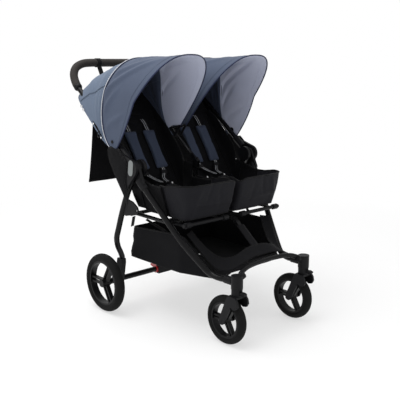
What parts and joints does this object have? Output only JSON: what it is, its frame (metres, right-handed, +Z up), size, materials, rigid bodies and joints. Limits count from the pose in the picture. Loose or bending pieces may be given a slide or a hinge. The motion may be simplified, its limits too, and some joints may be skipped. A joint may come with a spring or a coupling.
{
  "type": "twin stroller",
  "caption": "Side-by-side twin stroller with two hooded seats, a forward-folding frame, foam handlebar, swivelling front wheels and an underseat basket.",
  "frame": {"origin": "on the ground, under the middle of the outline", "axes": "+Z up, the occupants face -Y, +X is towards their left"},
  "size_m": [0.745, 0.9826, 1.12],
  "materials": {
    "frame_black": "satin black powder coat",
    "handle_black": "satin black powder coat",
    "pin_steel": "plain steel",
    "moulded_black": "fine moulded grain",
    "rim_black": "smooth moulded",
    "tyre_foam": "closed-cell foam skin",
    "grip_foam": "dark brown-grey foam",
    "badge_grey": "satin grey, blank",
    "seat_fabric": "black woven polyester",
    "basket_fabric": "black twill",
    "webbing_black": "flat woven webbing",
    "pad_fabric": "blue-grey woven fabric",
    "canopy_fabric": "blue-grey chambray weave",
    "brake_red": "glossy red"
  },
  "bodies": {
    "chassis": {"front_tube_right": "frame_black", "front_tube_left": "frame_black", "front_arch": "frame_black", "caster_housing_right": "moulded_black", "caster_housing_left": "moulded_black", "seat_frame": "frame_black", "hinge_knuckle_right": "moulded_black", "hinge_knuckle_left": "moulded_black", "hinge_pins": "moulded_black", "centre_upright": "frame_black", "seat_right": "seat_fabric", "seat_left": "seat_fabric", "basket": "basket_fabric", "basket_apron": "basket_fabric", "basket_straps": "webbing_black", "harness_buckles": "moulded_black"},
    "upper_frame": {"handlebar": "handle_black", "handle_grip": "grip_foam", "hinge_cover_right": "moulded_black", "hinge_cover_left": "moulded_black", "hinge_badges": "badge_grey", "canopy_clips": "moulded_black", "canopy_rear_right": "canopy_fabric", "canopy_rear_left": "canopy_fabric", "handle_straps": "webbing_black", "rear_cross_tube": "handle_black", "centre_post": "handle_black"},
    "canopy_right": {"canopy_front_right": "canopy_fabric"},
    "canopy_left": {"canopy_front_left": "canopy_fabric"},
    "back_right": {"backrest_right": "seat_fabric", "seat_flap_right": "seat_fabric", "shoulder_pads_right": "pad_fabric"},
    "back_left": {"backrest_left": "seat_fabric", "seat_flap_left": "seat_fabric", "shoulder_pads_left": "pad_fabric"},
    "foot_right": {"leg_rest_right": "seat_fabric", "leg_rest_bar_right": "moulded_black"},
    "foot_left": {"leg_rest_left": "seat_fabric", "leg_rest_bar_left": "moulded_black"},
    "rear_frame": {"rear_leg_right": "frame_black", "rear_leg_left": "frame_black", "axle_brackets": "moulded_black", "rear_axle_bar": "frame_black", "rear_axle_pins": "pin_steel", "fold_links": "moulded_black", "brake_housing": "moulded_black"},
    "pedal": {"brake_pedal": "brake_red"},
    "rear_wheel_right": {"rear_tyre_right": "tyre_foam", "rear_rim_right": "rim_black"},
    "rear_wheel_left": {"rear_tyre_left": "tyre_foam", "rear_rim_left": "rim_black"},
    "caster_right": {"caster_fork_right": "moulded_black"},
    "caster_left": {"caster_fork_left": "moulded_black"},
    "front_wheel_right": {"front_tyre_right": "tyre_foam", "front_rim_right": "rim_black"},
    "front_wheel_left": {"front_tyre_left": "tyre_foam", "front_rim_left": "rim_black"},
    "lock_right": {"swivel_lock_right": "moulded_black"},
    "lock_left": {"swivel_lock_left": "moulded_black"}
  },
  "joints": [
    {"name": "frame_fold", "type": "hinge", "parent": "chassis", "child": "upper_frame", "pos_m": [0, 0.01, 0.67], "axis": [1, 0, 0], "range_deg": [0, 95]},
    {"name": "rear_leg_fold", "type": "hinge", "parent": "chassis", "child": "rear_frame", "pos_m": [0, 0.01, 0.67], "axis": [1, 0, 0], "range_deg": [-26, 0]},
    {"name": "canopy_fold_right", "type": "hinge", "parent": "upper_frame", "child": "canopy_right", "pos_m": [-0.1855, 0.137, 0.768], "axis": [1, 0, 0], "range_deg": [-24, 0]},
    {"name": "recline_right", "type": "hinge", "parent": "chassis", "child": "back_right", "pos_m": [-0.165, 0.05, 0.5], "axis": [1, 0, 0], "range_deg": [-25, 0]},
    {"name": "leg_rest_tilt_right", "type": "hinge", "parent": "chassis", "child": "foot_right", "pos_m": [-0.16, -0.139, 0.462], "axis": [1, 0, 0], "range_deg": [0, 20]},
    {"name": "rear_wheel_spin_right", "type": "hinge", "parent": "rear_frame", "child": "rear_wheel_right", "pos_m": [-0.3505, 0.229, 0.131], "axis": [1, 0, 0], "continuous": true},
    {"name": "caster_swivel_right", "type": "hinge", "parent": "chassis", "child": "caster_right", "pos_m": [-0.202, -0.443, 0.24], "axis": [0, 0, 1], "continuous": true},
    {"name": "front_wheel_spin_right", "type": "hinge", "parent": "caster_right", "child": "front_wheel_right", "pos_m": [-0.202, -0.389, 0.0995], "axis": [1, 0, 0], "continuous": true},
    {"name": "swivel_lock_press_right", "type": "hinge", "parent": "caster_right", "child": "lock_right", "pos_m": [-0.202, -0.46, 0.2265], "axis": [1, 0, 0], "range_deg": [0, 14]},
    {"name": "canopy_fold_left", "type": "hinge", "parent": "upper_frame", "child": "canopy_left", "pos_m": [0.1855, 0.137, 0.768], "axis": [1, 0, 0], "range_deg": [-24, 0]},
    {"name": "recline_left", "type": "hinge", "parent": "chassis", "child": "back_left", "pos_m": [0.165, 0.05, 0.5], "axis": [1, 0, 0], "range_deg": [-25, 0]},
    {"name": "leg_rest_tilt_left", "type": "hinge", "parent": "chassis", "child": "foot_left", "pos_m": [0.16, -0.139, 0.462], "axis": [1, 0, 0], "range_deg": [0, 20]},
    {"name": "rear_wheel_spin_left", "type": "hinge", "parent": "rear_frame", "child": "rear_wheel_left", "pos_m": [0.3505, 0.229, 0.131], "axis": [1, 0, 0], "continuous": true},
    {"name": "caster_swivel_left", "type": "hinge", "parent": "chassis", "child": "caster_left", "pos_m": [0.202, -0.443, 0.24], "axis": [0, 0, 1], "continuous": true},
    {"name": "front_wheel_spin_left", "type": "hinge", "parent": "caster_left", "child": "front_wheel_left", "pos_m": [0.202, -0.389, 0.0995], "axis": [1, 0, 0], "continuous": true},
    {"name": "swivel_lock_press_left", "type": "hinge", "parent": "caster_left", "child": "lock_left", "pos_m": [0.202, -0.46, 0.2265], "axis": [1, 0, 0], "range_deg": [0, 14]},
    {"name": "brake_press", "type": "hinge", "parent": "rear_frame", "child": "pedal", "pos_m": [0, 0.229, 0.131], "axis": [1, 0, 0], "range_deg": [-18, 0]}
  ],
  "couplings": [
    {"joint": "rear_leg_fold", "follows": "frame_fold", "ratio": -0.27368}
  ]
}
